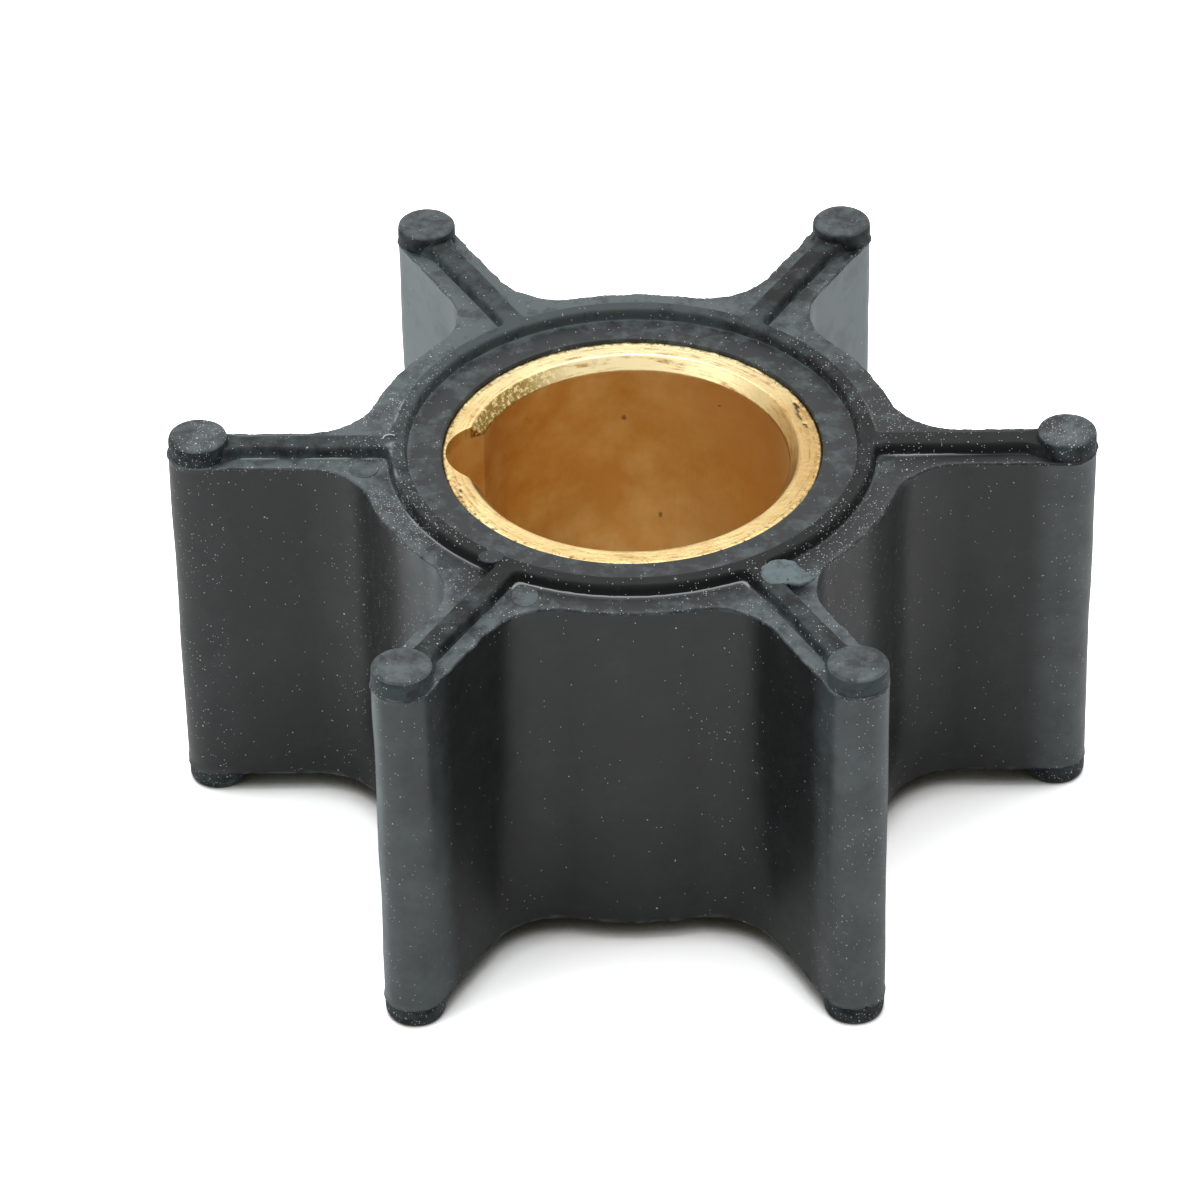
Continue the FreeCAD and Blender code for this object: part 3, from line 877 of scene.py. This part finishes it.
wall_rubber = rubber_skin("smooth black wall rubber", "#101213", "#8b9a9d", blotch=0.35, mottle=0.03,
                          gloss=0.34, specular=0.8, dust=0.006)
ledge_rubber = rubber_skin("blotched ledge rubber", "#1b2022", "#626d6f", blotch=0.7, mottle=0.65,
                           gloss=0.45, specular=0.45, dust=0.05)
bead_rubber = rubber_skin("dull bead rubber", "#090b0b", "#4b5556", blotch=0.8, mottle=0.5,
                          gloss=0.55, specular=0.28, dust=0.06)
torn_rubber = rubber_skin("torn gate rubber", "#424d50", "#7b8a8d", blotch=1.1, mottle=0.7,
                          gloss=0.6, specular=0.3, dust=0.0)
lint = rubber_skin("pale lint", "#b9bdbc", "#e6e8e7", blotch=2.0, mottle=0.2,
                   gloss=0.6, specular=0.3, dust=0.0)

# %% Put the rubber pieces in place
moulding = place_piece("rubber_moulding", rubber_mesh, (wall_rubber, ledge_rubber, bead_rubber))
place_piece("tip_discs", disc_mesh, (wall_rubber, ledge_rubber, bead_rubber))
place_piece("gate_scar", scar_mesh, (torn_rubber,))
place_piece("pin_marks", pin_mesh, (ledge_rubber,))
place_piece("lint_fibre", fibre_mesh, (lint,))
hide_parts("rubber_impeller")

# %% [markdown]
# ## The turned brass bush
#
# The bush is parted off from bar on a lathe, so its end face carries fine rings and its mouth a bright
# chamfer. A half-round keyway is cut through one side. As a surface it is one profile turned round
# the bore. Wherever the keyway's circle lies further out than the profile, that circle is taken, and
# a small rounding between the two, (a + b + sqrt((a - b)^2 + k^2)) / 2, stands for the worn edge.

# %% The bush's surface
BORE_RADIUS = 9.65
BUSH_TOP = 25.05
BUSH_BOTTOM = 1.45
MOUTH_WIDTH = 0.6
MOUTH_DEPTH = 0.8
KEYWAY_CENTRE = 8.5
KEYWAY_RADIUS = 2.95
KEYWAY_EDGE = 0.12


def keyway_reach(angles):
    """How far the keyway's circle lies from the bore's axis in each direction, or 0 where it isn't met.

    On a ray at an angle a from the keyway's side that is d cos a + sqrt(R^2 - d^2 sin^2 a).
    """
    from_side = angles - np.pi
    under = KEYWAY_RADIUS ** 2 - (KEYWAY_CENTRE * np.sin(from_side)) ** 2
    met = (under > 0) & (np.cos(from_side) > 0)
    return np.where(met, KEYWAY_CENTRE * np.cos(from_side) + np.sqrt(np.maximum(under, 0)), 0)


bush_angles = np.linspace(0, 2 * np.pi, 721)
end_radii = np.concatenate([[11.7, 11.66, 11.58, 11.5], np.linspace(11.35, 10.37, 10), [10.28, 10.22]])
end_drops = np.concatenate([[0.2, 0.1, 0.02, 0.0], np.zeros(10), [0.01, 0.05]])
mouth_share = np.array([0.15, 0.4, 0.65, 0.85, 1.0])
mouth_radii = BORE_RADIUS + MOUTH_WIDTH * (1 - mouth_share)
end_radii = np.concatenate([end_radii, mouth_radii, [BORE_RADIUS, BORE_RADIUS]])
end_drops = np.concatenate([end_drops, MOUTH_DEPTH * mouth_share, [1.0, 1.6]])
bore_heights = np.linspace(BUSH_TOP - 3.0, BUSH_BOTTOM + 3.0, 12)
bush_radii = np.concatenate([end_radii, np.full(12, BORE_RADIUS), end_radii[::-1], [11.7, 11.7, 11.7]])
outside_heights = [8, 16, BUSH_TOP - 0.2]
bush_ends = (BUSH_TOP - end_drops, BUSH_BOTTOM + end_drops[::-1])
bush_heights = np.concatenate([bush_ends[0], bore_heights, bush_ends[1], outside_heights])
notch = keyway_reach(bush_angles)[None, :]
reach = (bush_radii[:, None] + notch + np.sqrt((bush_radii[:, None] - notch) ** 2 + KEYWAY_EDGE ** 2)) / 2
bush_mesh = skin("brass bush", [(turned(reach, bush_heights[:, None], bush_angles), 0)])

# %% [markdown]
# Handling has left small nicks in the end face. Each is a short gouge: a pit whose depth falls off
# along and across it like a bell, and a mask of the same shape tells the material to darken it. The
# numbers are its radius, its bearing in degrees, its half width and half length, and its strength.

# %% Nicks in the end face
NICKS = ((11.20, 25.0, 0.12, 0.38, 1.0), (10.90, 19.5, 0.09, 0.50, 1.0), (11.05, 22.5, 0.08, 0.35, 1.0),
         (11.00, 14.0, 0.10, 0.30, 1.0), (11.17, -159.4, 0.08, 0.30, 0.9), (11.35, -156.0, 0.06, 0.20, 0.7),
         (11.00, -162.5, 0.05, 0.22, 0.6))
NICK_DEPTH = 0.08
BURR_HEIGHT = 0.02
BURR_RADIUS = 11.6

points, outward = read_points(bush_mesh)
top_face = points[:, 2] > BUSH_TOP - 0.3
radius, angle = polar(points)
wobble = 1 + 0.5 * ripple(points, 0.4, 71)
pits = np.zeros(len(points))
for nick_radius, nick_angle, nick_width, nick_length, strength in NICKS:
    across = (radius - nick_radius) / nick_width
    along = np.radians((angle - nick_angle + 180) % 360 - 180) * nick_radius / nick_length
    pits = np.maximum(pits, np.exp(-across ** 2 - along ** 2) * wobble * strength)
pits = np.clip(pits, 0, 1) * top_face
points[:, 2] -= NICK_DEPTH * pits
burr = (abs(radius - BURR_RADIUS) < 0.12) * top_face
points[:, 2] += burr * BURR_HEIGHT * ripple(points, 0.6, 72)
write_points(bush_mesh, points)
write_mask(bush_mesh, "nick", soft_step(pits, 0.22, 0.55))
print("nicks cover", int((pits > 0.4).sum()), "points of the end face")

# %% [markdown]
# ## Brass
#
# Brass has no diffuse colour of its own: what shows is the white room, tinted. The ends are bright
# and carry lathe rings. The bore is a shade browner, with soft stains some 3 mm wide and faint upright
# marks from the shaft, 0.3 mm wide and much longer. A mask by height tells the bore from the ends.
# The bore is paler on its right and at its foot. The end is duller on its right, which is tarnish,
# and brighter behind, which is a painted reflection of the room.

# %% Where a point of the bush lies
def bush_places(add, place):
    """x, y, z, the distance from the bore's axis, the bearing, and a mask of both ends.

    The mask turns from 0 to 1 at the foot of the mouth, by height above or below the middle.
    """
    axes = add("SeparateXYZ", None, {0: place})
    x, y, z = axes.outputs
    flat = add("CombineXYZ", None, {0: x, 1: y})
    radius = add("VectorMath", {"operation": "LENGTH"}, {0: flat}).outputs["Value"]
    bearing = add("Math", {"operation": "ARCTAN2"}, {0: y, 1: x})
    middle = (BUSH_TOP + BUSH_BOTTOM) / 2
    mouth = BUSH_TOP - MOUTH_DEPTH - middle
    along = add("Math", {"operation": "SUBTRACT", 1: middle * MM}, {0: z})
    off_middle = add("Math", {"operation": "ABSOLUTE"}, {0: along})
    end = add("MapRange", between((mouth - 0.08) * MM, (mouth + 0.05) * MM), {"Value": off_middle})
    return x, y, z, radius, bearing, end


# %% Tint of the bore and the end
BORE_BRASS = two_tones("#deb06a", "#f1d599")
PALER_BORE_TINT = colour("#fcdc9c")
BORE_SPOT = colour("#6b4216")
FACE_BRASS = two_tones("#d6b67e", "#ecd79c")
TARNISH = colour("#b8965f")
PAINTED_REFLECTION_BRASS = colour("#fdeebd")


def brass_tint(add, place, x, y, z, end, stains):
    """Stained tints of the bore and of the ends, shifted with place, and joined by the end mask. The
    brighter rear of the end is a painted reflection.
    """
    stained = add("MapRange", between(0.35, 0.65), {"Value": stains})
    bore = add("MixRGB", BORE_BRASS, {"Fac": stained})
    # The bore is made paler to the right and near its foot.
    right_half = add("MapRange", between(0.0, 8 * MM, 0.8), {"Value": x})
    foot = add("MapRange", between(8 * MM, 3 * MM, 0.6), {"Value": z})
    paler_bore_share = add("Math", MAXIMUM, {0: right_half, 1: foot})
    paler_bore = add("MixRGB", {"Color2": PALER_BORE_TINT}, {"Fac": paler_bore_share, "Color1": bore})
    spots = add("TexNoise", {"Scale": per_mm(0.8), "Detail": 2.0}, {"Vector": place})
    rare = add("MapRange", between(0.745, 0.77, 0.6), {"Value": spots})
    spotted = add("MixRGB", {"Color2": BORE_SPOT}, {"Fac": rare, "Color1": paler_bore})

    face = add("MixRGB", FACE_BRASS, {"Fac": stained})
    to_right = add("MapRange", between(5 * MM, 11 * MM, 0.7), {"Value": x})
    tarnished = add("MixRGB", {"Color2": TARNISH}, {"Fac": to_right, "Color1": face})
    # Painted reflection: the end is brightened towards the rear.
    painted_reflection_to_rear = add("MapRange", between(4 * MM, 10 * MM, 0.7), {"Value": y})
    bright = add("MixRGB", {"Color2": PAINTED_REFLECTION_BRASS}, {"Fac": painted_reflection_to_rear, "Color1": tarnished})
    return add("MixRGB", None, {"Fac": end, "Color1": spotted, "Color2": bright})

# %% [markdown]
# A lathe's feed leaves rings about a tenth of a millimetre apart, too fine to show, so they are drawn
# twice as wide. They are noise on two numbers, the radius and the bearing, with many more steps across
# than round, so each ring fades and comes back. Handling breaks them up in patches of a millimetre.

# %% Rings, grime and nicks
RING_BROWN = colour("#a8793c")
GRIME = colour("#3b291b")


def lathe_rings(add, radius, bearing):
    """Noise on (5 radius in mm, 3.5 bearing in radians): long arcs, a fifth of a millimetre wide."""
    outwards = add("Math", MULTIPLY | {1: per_mm(5.0)}, {0: radius})
    onwards = add("Math", MULTIPLY | {1: 3.5}, {0: bearing})
    unrolled = add("CombineXYZ", None, {0: outwards, 1: onwards})
    return add("TexNoise", {"Scale": 1.0, "Detail": 2.0, "Roughness": 0.6}, {"Vector": unrolled})


def ringed_brass(add, place, tint, rings, end):
    """Browner in the hollows of the rings, on the ends alone, and only in patches."""
    groove = add("MapRange", between(0.49, 0.38, 0.8), {"Value": rings})
    scuffs = add("TexNoise", {"Scale": per_mm(0.9), "Detail": 6.0, "Roughness": 0.75}, {"Vector": place})
    scuffed = add("MapRange", between(0.40, 0.60), {"Value": scuffs})
    broken_groove = add("Math", MULTIPLY, {0: groove, 1: scuffed})
    in_groove = add("Math", MULTIPLY, {0: broken_groove, 1: end})
    return add("MixRGB", {"Color2": RING_BROWN}, {"Fac": in_groove, "Color1": tint})


def marked_brass(add, ringed, bits, radius, end):
    """Dark where grime has caught along the outer edge of an end, and in the nicks."""
    edge = add("MapRange", between(11.0 * MM, 11.6 * MM), {"Value": radius})
    dirt = add("MapRange", between(0.54, 0.62), {"Value": bits})
    on_edge = add("Math", MULTIPLY, {0: edge, 1: end})
    grime = add("Math", MULTIPLY, {0: dirt, 1: on_edge})
    nick = add("Attribute", {"attribute_name": "nick"})
    dark = add("Math", MAXIMUM, {0: grime, 1: nick.outputs["Fac"]})
    return add("MixRGB", {"Color2": GRIME}, {"Fac": dark, "Color1": ringed})


# %% The chattered stretch of the mouth
CHATTER_OLIVE = two_tones("#94783f", "#e8d296")


def chattered_brass(add, marked, bits, radius, bearing, end):
    """Olive and speckled on the chamfer, from the rear round to the keyway, at both mouths."""
    inside = add("MapRange", between(10.4 * MM, 10.2 * MM), {"Value": radius})
    start = add("MapRange", between(1.95, 2.35), {"Value": bearing})
    dull = add("Math", MULTIPLY, {0: inside, 1: start})
    dull_mouth = add("Math", MULTIPLY, {0: dull, 1: end})
    chatter = add("MapRange", between(0.50, 0.58), {"Value": bits})
    olive = add("MixRGB", CHATTER_OLIVE, {"Fac": chatter})
    return add("MixRGB", None, {"Fac": dull_mouth, "Color1": marked, "Color2": olive})


# %% Turned brass
def turned_brass():
    """Metal whose tint, relief and roughness change from the bore to the ends."""
    material, add = new_material("turned brass")
    place = add("TexCoord").outputs["Object"]
    x, y, z, radius, bearing, end = bush_places(add, place)
    stains = add("TexNoise", {"Scale": per_mm(0.3), "Detail": 6.0, "Roughness": 0.62}, {"Vector": place})
    bits = add("TexNoise", {"Scale": per_mm(3.2), "Detail": 4.0, "Roughness": 0.75}, {"Vector": place})
    rings = lathe_rings(add, radius, bearing)
    tint = brass_tint(add, place, x, y, z, end, stains)
    ringed = ringed_brass(add, place, tint, rings, end)
    marked = marked_brass(add, ringed, bits, radius, end)
    finished = chattered_brass(add, marked, bits, radius, bearing, end)

    squashed = add("Mapping", {"Scale": (1.0, 1.0, 0.06)}, {"Vector": place})
    uprights = add("TexNoise", {"Scale": per_mm(3.0), "Detail": 3.0}, {"Vector": squashed})
    tool = add("Math", MULTIPLY_ADD | {1: 3.0}, {0: bits, 2: rings})
    relief = add("MixRGB", None, {"Fac": end, "Color1": uprights, "Color2": tool})
    bump = add("Bump", {"Strength": 0.7, "Distance": 0.015 * MM}, {"Height": relief})
    polish = add("Math", MULTIPLY_ADD | {1: -0.1, 2: 0.36}, {0: end})
    rough = add("Math", MULTIPLY_ADD | {1: 0.12}, {0: stains, 2: polish})
    surface = {"Base Color": finished, "Roughness": rough, "Normal": bump}
    brass = add("BsdfPrincipled", {"Metallic": 1.0}, surface)
    add("OutputMaterial", None, {"Surface": brass})
    return material


bush = place_piece("turned_bush", bush_mesh, (turned_brass(),))
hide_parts("brass_bush")

# %% [markdown]
# ## Finish
#
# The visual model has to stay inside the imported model's box, so both boxes are kept for comparison.

# %% Measure and finish
boxes = {"cad": [list(corner) for corner in cad_box], "visual": [list(corner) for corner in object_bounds()]}
for name, (low, high) in boxes.items():
    print(name, "box, mm:", [round(value / MM, 2) for value in (*low, *high)])
